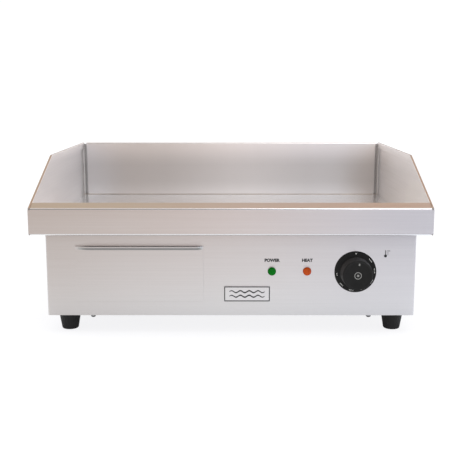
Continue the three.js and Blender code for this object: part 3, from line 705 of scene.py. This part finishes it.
# ----------------------------------------------------------------- body front
def front_panel():
    """Front sheet wrapped round both corners, cut for drawer, dial shaft, lamps and screws."""
    mid_x, mid_y = BODY_HW - T / 2, BODY_Y0 + T / 2

    def wrap(back, z0, z1):
        path = [(-mid_x, back), (-mid_x, mid_y), (mid_x, mid_y), (mid_x, back)]
        return prism(sheet(fillet(path, 2.4)), "Z", z0, z1)

    lip = [(-256.4, mid_y), (256.4, mid_y), (256.4, -168), (-256.4, -168)]
    panel = combine(wrap(-167, BODY_Z0, 143.0),
                    [wrap(-178.9, 142.0, 147.2), prism(lip, "Z", BODY_Z0, BODY_Z0 + T)], "UNION")
    openings = [rounded_rect(-214.5, -42.5, 50.3, 127.6, 1.2, 3), circle(KNOB_X, KNOB_Z, 5.4),
                circle(POWER_X, LAMP_Z, 5.1), circle(HEAT_X, LAMP_Z, 5.1)]
    tools = [prism(outline, "Y", -184, -179.5) for outline in openings]
    tools += [prism(circle(x, BASE_SCREW_Y, 2.4, 20), "Z", 25, 32)
              for x in (-BASE_SCREW_X, BASE_SCREW_X)]
    place("front_panel_sheet", combine(panel, tools), SHEET_STEEL,
          replaces="front_panel", bevel=0.18, angle=28)


def drawer_front():
    """Lapped over the panel; the top is pressed out into a lip that runs out at both ends."""
    left, right, left_run, right_run = -218.4, -38.8, 20.0, 9.0
    face_y = BODY_Y0 - 0.3 - T / 2

    def section(x):
        full = min(1.0, (x - left) / left_run, (right - x) / right_run)
        full = full * full * (3 - 2 * full)
        lift = 0.5 * (1 - full)
        lip_y = face_y - 0.3 - 3.3 * full
        path = [(face_y, 48.6), (face_y, 123.1 + lift), (lip_y, 126.6 + lift),
                (lip_y, 127.75 + lift)]
        return [(x, y, z) for y, z in sheet(fillet(path, (1.1, 0.7), steps=6))]

    stations = [left + left_run * k / 14 for k in range(15)] + [-120.0]
    stations += [right - right_run + right_run * k / 10 for k in range(11)]
    place("drip_tray_front_sheet", loft([section(x) for x in stations]), DRAWER_STEEL,
          body=DRAWER, replaces="drip_tray_front", bevel=0.2, segments=3, angle=34)


front_panel()
drawer_front()


# ------------------------------------------------------------- printed marks
# Marks look towards -Y: y is their rear, depth how far they stand forward of it.
ON_DIAL = dict(body=DIAL, slot=BLACK_PLASTIC)
ON_PANEL = dict(body=ROOT, slot=STAINLESS)


def marks(name, outlines, y, depth, material, body, slot):
    """Thin raised marks from (x, z) outlines, all in one mesh."""
    verts, faces = [], []
    for outline in outlines:
        more_verts, more_faces = prism_data(outline, "Y", y - depth, y)
        faces += [[i + len(verts) for i in face] for face in more_faces]
        verts += more_verts
    place(name, build(verts, faces), material, body)


def ring_mark(name, outer, inner, y, depth, material, body, slot):
    """Raised band between two (x, z) outlines with the same point count."""
    n = len(outer)
    verts = [(x, level, z) for level in (y, y - depth) for x, z in (*outer, *inner)]
    faces = []
    for i in range(n):
        j = (i + 1) % n
        faces += [[i, j, n + j, n + i], [2 * n + i, 3 * n + i, 3 * n + j, 2 * n + j],
                  [i, 2 * n + i, 2 * n + j, j], [n + i, n + j, 3 * n + j, 3 * n + i]]
    place(name, build(verts, faces), material, body)


def text_mark(name, words, size, x, z, y, depth, material, body, slot, bold, turn=0.0):
    """Raised text centred on (x, z), turned clockwise as seen from the front."""
    curve = bpy.data.curves.new(name, "FONT")
    curve.body = words
    curve.size = size * MM
    curve.align_x = "CENTER"
    curve.align_y = "CENTER"
    curve.extrude = depth * MM / 2
    curve.offset = bold * MM
    curve.resolution_u = 4
    ob = add_object("text", curve)
    depsgraph = bpy.context.evaluated_depsgraph_get()
    mesh = bpy.data.meshes.new_from_object(ob.evaluated_get(depsgraph))
    bpy.data.objects.remove(ob)
    bpy.data.curves.remove(curve)
    mesh.transform(Matrix.Translation((x * MM, (y - depth / 2) * MM, z * MM))
                   @ Matrix.Rotation(turn, 4, "Y") @ Matrix.Rotation(math.radians(90), 4, "X"))
    tidy(mesh, merge=1e-8)
    add_named(name, mesh, material, body)


# ------------------------------------------------------------------- controls
# (radius, distance in front of KNOB_Y): hub, flange, flank, rounded rim, cap
KNOB_PROFILE = [
    (0, 0.3), (7.8, 0.3), (7.8, 0), (28.9, 0),
    (29.3, 0.25), (29.4, 0.7), (29.4, 2.6), (29.25, 3.4), (28.8, 4.1), (28.0, 4.6), (26.4, 4.9),
    (23.8, 5.2), (22.8, 5.4), (22.2, 5.95), (21.8, 7.0), (21.65, 10.0), (21.3, 17.0), (21.0, 24.0),
    (20.85, 25.4), (20.5, 26.5), (19.9, 27.3), (19.2, 27.7), (18.5, 27.8), (17.9, 27.7),
    (17.5, 27.45), (17.0, 27.35), (8.0, 27.35), (0, 27.35),
]
# (radius, y) from the domed front to the rear
LENS_PROFILE = [
    (0, -187.25), (1.2, -187.2), (2.4, -187.02), (3.4, -186.72), (4.3, -186.25), (5.0, -185.65),
    (5.5, -184.95), (5.8, -184.15), (5.9, -183.3), (5.9, -182.55), (5.75, -182.4), (4.7, -182.4),
    (4.7, -178.1), (4.5, -177.95), (0, -177.95),
]


def polar(r, degrees):
    """Point on the dial, clockwise from the top as seen from the front."""
    a = math.radians(degrees)
    return KNOB_X + r * math.sin(a), KNOB_Z + r * math.cos(a)


def dial():
    def grip(r, y, angle):
        """36 shallow flutes on the flank."""
        if 20.9 < r < 21.7 and KNOB_Y - 24.5 < y < KNOB_Y - 6.5:
            return -0.22 * (0.5 + 0.5 * math.cos(angle * 36))
        return 0.0

    profile = [(r, KNOB_Y - out if r or out else KNOB_Y) for r, out in KNOB_PROFILE]
    knob = place("thermostat_knob_moulding", lathe(profile, "Y", (KNOB_X, KNOB_Z), 144, grip),
                 KNOB, body=DIAL, replaces="thermostat_knob")
    knob.visible_glossy = False

    # scale on the flange: index wedge at the top, seven numbers running round
    scale_y = KNOB_Y - 4.67
    wedge = [polar(27.4, -2.9), polar(27.4, 2.9), polar(26.0, 1.3), polar(22.3, 1.3),
             polar(22.3, -1.3), polar(26.0, -1.3)]
    marks("dial_index_marks", [wedge], scale_y, 0.32, WHITE_PRINT, **ON_DIAL)
    for i in range(7):
        number, degrees = str(60 + 40 * i), 263 - 35.5 * i
        text_mark(f"dial_number_{number}", number, 4.6, *polar(25.1, degrees), scale_y, 0.30,
                  WHITE_PRINT, **ON_DIAL, bold=0.13, turn=math.radians(degrees))

    # pointer, ring and dot on the cap
    cap_y = KNOB_Y - 27.30
    pointer = [polar(17.2, 2.2), polar(17.2, 8.8), polar(14.2, 9.4), polar(14.2, 1.6)]
    marks("dial_pointer_mark", [pointer], cap_y, 0.16, WORN_PRINT, **ON_DIAL)
    outer, inner = ([polar(r, 15 * k) for k in range(24)] for r in (5.1, 4.1))
    ring_mark("dial_centre_ring", outer, inner, cap_y, 0.14, WORN_PRINT, **ON_DIAL)
    dot = [polar(1.7, 30 * k) for k in range(12)]
    marks("dial_centre_dot", [dot], cap_y, 0.14, WORN_PRINT, **ON_DIAL)


PRINT_Y, PRINT_DEPTH = BODY_Y0 - 0.01, 0.05


def lamps():
    for name, x, material, slot in (("power", POWER_X, GREEN_LENS, "green_lens"),
                                    ("heat", HEAT_X, ORANGE_LENS, "orange_lens")):
        place(f"{name}_lens_moulding", lathe(LENS_PROFILE, "Y", (x, LAMP_Z), 64), material,
              replaces=f"{name}_lamp_lens")
    for name, x in (("power", POWER_X), ("heat", HEAT_X)):
        text_mark(f"label_{name}", name.upper(), 6.0, x, 107.7, PRINT_Y, PRINT_DEPTH, INK,
                  **ON_PANEL, bold=0.36)


def thermometer_pictogram():
    x, z = 217.2, 114.2     # bulb centre
    stem = [(x - 0.75, z + 1.7), (x + 0.75, z + 1.7), (x + 0.75, z + 7.6), (x + 0.4, z + 8.3),
            (x - 0.4, z + 8.3), (x - 0.75, z + 7.6)]
    # ticks: height above the bulb, right end from the stem axis
    ticks = [[(x + 2.0, z + up), (x + end, z + up), (x + end, z + up + 0.5),
              (x + 2.0, z + up + 0.5)]
             for up, end in ((1.6, 4.2), (3.2, 4.2), (4.8, 4.2), (6.4, 6.4), (7.5, 6.4))]
    marks("label_thermometer_bulb", [circle(x, z, 2.1, 24)], PRINT_Y, PRINT_DEPTH, INK, **ON_PANEL)
    marks("label_thermometer_scale", [stem] + ticks, PRINT_Y, PRINT_DEPTH, FAINT_INK, **ON_PANEL)


def badge():
    """Plain plate with an outline and two wavy lines."""
    x0, x1, z0, z1 = -9.8, 55.5, 48.3, 70.6
    y, depth = -183.08, 0.08
    place("badge_blank", prism(rounded_rect(x0, x1, z0, z1, 3.0, 6), "Y", -183.1, -182.3),
          BADGE_STEEL, replaces="badge_plate", bevel=0.3, segments=3)
    outer, inner = (rounded_rect(x0 + inset, x1 - inset, z0 + inset, z1 - inset, r, 3)
                    for inset, r in ((0.4, 0.8), (1.7, 0.3)))
    ring_mark("badge_outline", outer, inner, y, depth, INK, **ON_PANEL)
    waves = []
    for k in range(2):
        upper, lower = [], []
        for i in range(97):
            t = i / 96
            x = (x0 + x1) / 2 - 25.0 + 50.0 * t
            z = (z0 + z1) / 2 + (k - 0.5) * 6.6 + 1.4 * math.sin(t * 8 * math.pi)
            half = 0.5 + 0.55 * math.sin(math.pi * t) ** 0.5
            upper.append((x, z + half))
            lower.insert(0, (x, z - half))
        waves.append(upper + lower)
    marks("badge_wave_pattern", waves, y, depth, INK, **ON_PANEL)


dial()
lamps()
thermometer_pictogram()
badge()

# ----------------------------------------------------------------------- feet
# (radius, z): tapered pad, collar, and the bore down the middle
FOOT_PROFILE = [
    (0, 0.0), (9.8, 0.0), (10.7, 0.18), (11.4, 0.65), (11.85, 1.4), (12.1, 2.4), (12.65, 5.6),
    (13.35, 9.8), (14.15, 14.4), (14.75, 18.0), (15.0, 19.4), (15.35, 20.3), (15.65, 21.2),
    (15.8, 22.4), (15.85, 24.5), (15.85, 26.4), (15.65, 27.1), (15.1, 27.55), (14.6, 27.65),
    (3.6, 27.65), (3.4, 27.4), (3.4, 12.5), (0, 12.4),
]
CORNERS = (("front", "left", -1), ("front", "right", 1), ("rear", "left", -1), ("rear", "right", 1))


def foot_ribs(r, z, angle):
    """24 upright grooves on the taper, running out at both ends."""
    if 2.0 < z < 19.4 and r > 11:
        depth = min(1.0, (z - 2.0) / 2.0, (19.4 - z) / 2.0)
        return -0.30 * depth * (0.5 + 0.5 * math.cos(angle * 24)) ** 2
    return 0.0


for end, side_name, side in CORNERS:
    centre = (side * 235.5, {"front": -148, "rear": 162}[end])
    place(f"foot_{end}_{side_name}_rubber", lathe(FOOT_PROFILE, "Z", centre, 120, foot_ribs),
          FOOT_RUBBER, replaces=f"foot_{end}_{side_name}")

# --------------------------------------------------------------------- screws
REAR_SCREW_Y = 191.8
# (radius, y) from the domed head to the shank tip
REAR_SCREW_PROFILE = [(r, REAR_SCREW_Y + out) for r, out in (
    (0, 2.85), (1.2, 2.8), (2.2, 2.6), (3.0, 2.15), (3.5, 1.4), (3.7, 0.7), (3.7, 0.45),
    (3.6, 0.35), (1.9, 0.35))] + [(1.9, 183.6), (1.5, 183), (0, 183)]
# (radius, z) from the head, which looks down, to the shank tip
BASE_SCREW_PROFILE = [
    (0, 23.3), (1.2, 23.35), (2.1, 23.6), (2.9, 24.15), (3.4, 24.95), (3.6, 25.9), (3.6, 27.5),
    (3.45, 27.7), (1.9, 27.7), (1.9, 34.5), (1.5, 35), (0, 35),
]


def screw(name, profile, axis, centre, material, outward):
    """Turned screw with a cross recess in its head; outward is the head's direction."""
    half, arm, depth, clear = 1.3, 0.35, 1.2, 2
    u, v = centre
    cross = [(-arm, -half), (arm, -half), (arm, -arm), (half, -arm), (half, arm), (arm, arm),
             (arm, half), (-arm, half), (-arm, arm), (-half, arm), (-half, -arm), (-arm, -arm)]
    head = profile[0][1]
    span = sorted((head - outward * depth, head + outward * clear))
    recess = prism([(u + a, v + b) for a, b in cross], axis, *span)
    place(f"{name}_turned", combine(lathe(profile, axis, centre, 36), [recess]), material,
          replaces=name, bevel=0.06, angle=40)


for i, centre in enumerate(((-251, 50), (251, 50), (-251, 118), (251, 118))):
    screw(f"rear_panel_screw_{i + 1}", REAR_SCREW_PROFILE, "Y", centre, SCREW, outward=1)
for end, side_name, side in CORNERS:
    centre = (side * BASE_SCREW_X, {"front": BASE_SCREW_Y, "rear": 183.5}[end])
    screw(f"base_screw_{end}_{side_name}", BASE_SCREW_PROFILE, "Z", centre, BASE_SCREW, outward=-1)

# ----------------------------------------------------------------- mains lead
LEAD_Y, LEAD_Z = 204.6, 7.0     # plane of the folded lead, and its lowest run
LEAD_LEFT, LEAD_RIGHT = -80.0, 150.0
PLUG_X = LEAD_RIGHT + 40
# plug body: (x past PLUG_X, size factor)
PLUG_STATIONS = ((6, 0.80), (6.8, 0.93), (9, 1.0), (22, 1.0), (28, 0.94), (36, 0.97), (39, 1.0),
                 (40, 0.96))
# ridged boot: (x past PLUG_X, radius)
BOOT_STATIONS = ((-8, 5.2), (-7.4, 5.6), (-4, 5.7), (-3.6, 5.2), (-1, 5.4), (-0.6, 6.0), (3, 6.2),
                 (3.4, 5.8), (7, 6.4))


def tube(points, r, sides=20):
    """Round sweep with a parallel-transported frame, closed at both ends."""
    path = [Vector(p) for p in points]
    legs = [(b - a).normalized() for a, b in zip(path, path[1:])]
    tangents = [legs[0]] + [(a + b).normalized() for a, b in zip(legs, legs[1:])] + [legs[-1]]
    normal = Vector((0, 0, 1))
    sections = []
    for point, tangent in zip(path, tangents):
        normal = (normal - tangent * normal.dot(tangent)).normalized()
        other = tangent.cross(normal)
        angles = [2 * math.pi * k / sides for k in range(sides)]
        sections.append([tuple(point + (normal * math.cos(a) + other * math.sin(a)) * r)
                         for a in angles])
    return loft(sections)


def power_cord():
    """Out of the gland, down, then four level runs one above another."""
    gland_x, gland_z = 190.0, 62.0
    turn = 14                               # reach of the end loops
    z1, z2, z3, z4 = (LEAD_Z + 9.6 * k for k in range(4))
    loop1, loop2, loop3 = (LEAD_Z + 9.6 * k for k in (0.5, 1.5, 2.5))
    runs = [(gland_x + 30, 60), (gland_x + 40, z4), (gland_x + 20, z4), (LEAD_LEFT, z4),
            (LEAD_LEFT - turn, loop3), (LEAD_LEFT, z3), (LEAD_RIGHT, z3),
            (LEAD_RIGHT + turn, loop2), (LEAD_RIGHT, z2), (LEAD_LEFT, z2),
            (LEAD_LEFT - turn, loop1), (LEAD_LEFT, z1), (PLUG_X, z1)]
    path = [(gland_x, 169, gland_z), (gland_x, LEAD_Y, gland_z)]
    path += [(x, LEAD_Y, z) for x, z in runs]
    place("power_cord_sheath", tube(fillet(path, 7), 4.3), CORD_RUBBER,
          replaces="power_cord")


def power_plug():
    y0, z0 = 204, 13.1      # centre of the plug body
    outline = rounded_rect(193.6, 214.4, 0.2, 26.0, 4.0, 5)
    shell = loft([[(PLUG_X + x, y0 + (y - y0) * size, z0 + (z - z0) * size) for y, z in outline]
                  for x, size in PLUG_STATIONS])
    angles = [2 * math.pi * k / 24 for k in range(24)]
    boot = loft([[(PLUG_X + x, LEAD_Y + r * math.cos(a) * 0.98, 8.0 + r * math.sin(a))
                  for a in angles] for x, r in BOOT_STATIONS])
    hole = tube([(PLUG_X - 20, LEAD_Y, LEAD_Z), (PLUG_X + 0.5, LEAD_Y, LEAD_Z)], 4.55)
    place("power_plug_moulding", combine(combine(shell, [boot], "UNION"), [hole]), CORD_RUBBER,
          replaces="power_plug", bevel=0.3, angle=35)
    pin = [(r, PLUG_X + x) for r, x in (
        (0, 39.5), (2.3, 39.5), (2.3, 56.6), (2.0, 57.4), (1.3, 58.0), (0, 58.0))]
    for i, z in enumerate((6.0, 20.0)):
        place(f"power_plug_pin_{i + 1}", lathe(pin, "X", (y0, z), 28), BRASS)


power_cord()
power_plug()

# ----------------------------------------------------------- kept CAD pieces
# material and bevel width
LOOK = {
    "grease_gutter": (SHEET_STEEL, 0.2), "gutter_drain_spout": (SHEET_STEEL, 0.15),
    "plate_support_frame": (ZINC, 0.25),
    "heating_element_left": (SHEATH, 0), "heating_element_right": (SHEATH, 0),
    "element_clamp_front": (ZINC, 0.3), "element_clamp_rear": (ZINC, 0.3),
    "insulation_blanket": (WOOL, 1.0), "heat_shield": (ZINC, 0.2),
    "thermostat_bulb": (COPPER, 0), "overheat_limiter": (BLACK_NYLON, 0.3),
    "thermostat_body": (INSULATOR, 0.5), "thermostat_shaft": (SCREW, 0.2),
    "power_lamp_body": (INSULATOR, 0.3), "heat_lamp_body": (INSULATOR, 0.3),
    "side_panel_left": (SIDE_STEEL, 0.2), "side_panel_right": (SIDE_STEEL, 0.2),
    "rear_panel": (SHEET_STEEL, 0.2), "bottom_plate": (SHEET_STEEL, 0.2),
    "drip_tray": (TRAY_STEEL, 0.25),
    "drawer_runner_left": (ZINC, 0.25), "drawer_runner_right": (ZINC, 0.25),
    "terminal_block": (INSULATOR, 0.4), "earth_stud": (BRASS, 0.15),
    "wiring_harness": (WIRE_SLEEVE, 0), "cable_gland": (BLACK_NYLON, 0.4),
}
OTHER_LOOK = (SCREW, 0.15)

for name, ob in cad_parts.items():
    if ob.hide_render:
        continue
    material, bevel_width = LOOK.get(name, OTHER_LOOK)
    ob.data.materials.clear()
    ob.data.materials.append(material)
    for polygon in ob.data.polygons:
        polygon.material_index = 0
        polygon.use_smooth = True
    ob.modifiers.new("weld", "WELD").merge_threshold = 1e-6
    if bevel_width:
        # joins flat facets first, so that only real edges are bevelled
        decimate = ob.modifiers.new("flat", "DECIMATE")
        decimate.decimate_type = "DISSOLVE"
        decimate.angle_limit = math.radians(0.5)
        add_bevel(ob, bevel_width, angle=35)
        flatten_shading(ob)

# --------------------------------------------------------------------- studio
scene.view_settings.view_transform = "Standard"
scene.view_settings.look = "None"
scene.view_settings.exposure = 0.0

# what the metal mirrors: left, centre, right as the camera sees it
STUDIO = {
    # floor towards the camera, and close to the griddle
    "far": ((0.76, 0.62, 0.52), (0.85, 0.61, 0.51), (0.55, 0.54, 0.64)),
    "near": ((1.22, 1.22, 1.21), (1.31, 1.40, 1.43), (1.20, 1.24, 1.33)),
    # camera side, by height
    "low": ((0.92, 0.78, 0.70), (1.44, 1.37, 1.36), (1.34, 1.38, 1.51)),
    "mid": ((0.55, 0.53, 0.53), (0.59, 0.58, 0.60), (1.33, 1.36, 1.38)),
    "high": ((0.56, 0.54, 0.55), (0.56, 0.54, 0.55), (3.25, 3.25, 3.35)),
    # behind the griddle, high and low
    "wall": ((0.81, 0.62, 0.42), (0.85, 0.61, 0.45), (0.76, 0.47, 0.29)),
    "back": ((1.41, 1.35, 1.35), (1.37, 1.31, 1.30), (1.39, 1.31, 1.29)),
}
# colour of the painted shadow of the griddle on the floor, seen in the metal
UNDER_PAINTED_SHADOW = (0.30, 0.29, 0.29)
SIDE_LEFT, SIDE_RIGHT = (0.95, 0.90, 0.87), (1.05, 1.04, 1.06)
OVERHEAD = (0.95, 0.93, 0.92)


def across(nodes, zone, to_left, to_right):
    left, centre, right = STUDIO[zone]
    return nodes.mix(to_right, nodes.mix(to_left, centre, left), right)


def floor_material():
    """Near white to the camera, zoned to the metal, plain grey to other light."""
    m = Material("studio_floor_mat")
    grain = m.noise(scale=60.0, detail=3.0, roughness=0.5)
    place_on = m.split(m.source("ShaderNodeTexCoord", "Object"))
    near = m.fade(place_on["Y"], -1.0, -0.25)
    to_left = m.fade(place_on["X"], 0.0, -0.42)
    to_right = m.fade(place_on["X"], 0.05, 0.45)
    mirrored = m.mix(near, across(m, "far", to_left, to_right), across(m, "near", to_left, to_right))
    # painted shadow on the floor under the griddle, seen only in reflections
    under_painted_shadow = m.math("MULTIPLY", m.fade(place_on["Y"], -0.245, -0.205),
                   m.fade(m.math("ABSOLUTE", place_on["X"]), 0.285, 0.255))
    mirrored = m.mix(under_painted_shadow, mirrored, UNDER_PAINTED_SHADOW)
    m.set(Base_Color=m.mix(m.fade(grain, 0.3, 0.7), (0.80, 0.80, 0.80), (0.82, 0.82, 0.82)),
          Roughness=0.8, Specular_IOR_Level=0.1)
    seen = m.node("ShaderNodeAddShader")
    m.put(seen.inputs[0], m.shader("ShaderNodeBsdfDiffuse", (0.19, 0.19, 0.187)))
    m.put(seen.inputs[1], m.shader("ShaderNodeEmission", (0.855, 0.855, 0.87), strength=1.0))
    unseen = m.mix_shader(m.source("ShaderNodeLightPath", "Is Glossy Ray"),
                          m.principled.outputs[0],
                          m.shader("ShaderNodeEmission", mirrored, strength=1.0))
    m.put(m.tree.nodes["Material Output"].inputs["Surface"],
          m.mix_shader(m.source("ShaderNodeLightPath", "Is Camera Ray"), unseen, seen.outputs[0]))
    return m.material


def studio_floor():
    half = 9
    mesh = bpy.data.meshes.new("studio_floor_mesh")
    mesh.from_pydata([(-half, -half, 0), (half, -half, 0), (half, half, 0), (-half, half, 0)], [],
                     [[0, 1, 2, 3]])
    mesh.materials.append(floor_material())
    add_object("studio_floor", mesh)


def studio_world():
    """White to the camera, zoned by direction to the metal, even to other light."""
    world = bpy.data.worlds.new("studio_world")
    scene.world = world
    world.use_nodes = True
    world.node_tree.nodes.clear()
    w = Nodes(world.node_tree)
    output = w.node("ShaderNodeOutputWorld")
    x, y, z = w.split(w.source("ShaderNodeTexCoord", "Generated"))
    to_degrees = 57.2958
    # azimuth from the camera side and from behind, both positive to the right
    azimuth = w.math("MULTIPLY", w.math("ARCTAN2", x, w.math("MULTIPLY", y, -1.0)), to_degrees)
    elevation = w.math("MULTIPLY", w.math("ARCSINE", z), to_degrees)
    azimuth_behind = w.math("MULTIPLY", w.math("ARCTAN2", x, y), to_degrees)

    def step(value, start, end):
        return w.fade(value, start, end, smooth=True)

    def band(angle, zone):
        return across(w, zone, to_left=step(angle, -1, -11), to_right=step(angle, 1, 11))

    off_axis = w.math("ABSOLUTE", azimuth)
    sides = w.mix(step(azimuth, -60, 60), SIDE_LEFT, SIDE_RIGHT)
    front = w.mix(step(elevation, 16, 28), band(azimuth, "low"), band(azimuth, "mid"))
    front = w.mix(step(elevation, 40, 52), front, band(azimuth, "high"))
    back = w.mix(step(elevation, 24, 36), band(azimuth_behind, "back"),
                 band(azimuth_behind, "wall"))
    mirrored = w.mix(step(off_axis, 75, 35), sides, front)
    mirrored = w.mix(step(off_axis, 100, 130), mirrored, back)
    mirrored = w.mix(step(elevation, 74, 84), mirrored, OVERHEAD)
    unseen = w.mix_shader(w.source("ShaderNodeLightPath", "Is Glossy Ray"),
                          w.shader("ShaderNodeBackground", (0.97, 0.97, 0.97), strength=0.9),
                          w.shader("ShaderNodeBackground", mirrored, strength=1.0))
    seen = w.shader("ShaderNodeBackground", (1, 1, 1), strength=1.05)
    w.put(output.inputs["Surface"],
          w.mix_shader(w.source("ShaderNodeLightPath", "Is Camera Ray"), unseen, seen))


def key_light():
    place_at, target = Vector((0.3, -0.9, 2.6)), Vector((0, -0.2, 0))
    light = bpy.data.lights.new("key_top", "AREA")
    light.energy = 26
    light.shape = "RECTANGLE"
    light.size = 2.4
    light.size_y = 1.6
    ob = add_object("key_top", light)
    ob.location = place_at
    ob.rotation_euler = (target - place_at).to_track_quat("-Z", "Y").to_euler()
    ob.visible_glossy = False
    ob.visible_camera = False


def camera():
    distance, height = 1089.62, 349.46      # ahead of the apron, above the floor
    pitch, yaw = 10.017, 0.0632             # degrees, down and to the left
    data = bpy.data.cameras.new("camera")
    data.sensor_width = 36.0
    data.lens = 63.847565
    data.clip_start = 0.05
    data.clip_end = 60
    ob = add_object("camera", data)
    ob.location = (0.0, (Y_FRONT - distance) * MM, height * MM)
    ob.rotation_euler = (math.radians(90 - pitch), 0.0, math.radians(yaw))
    scene.camera = ob


studio_floor()
studio_world()
key_light()
camera()
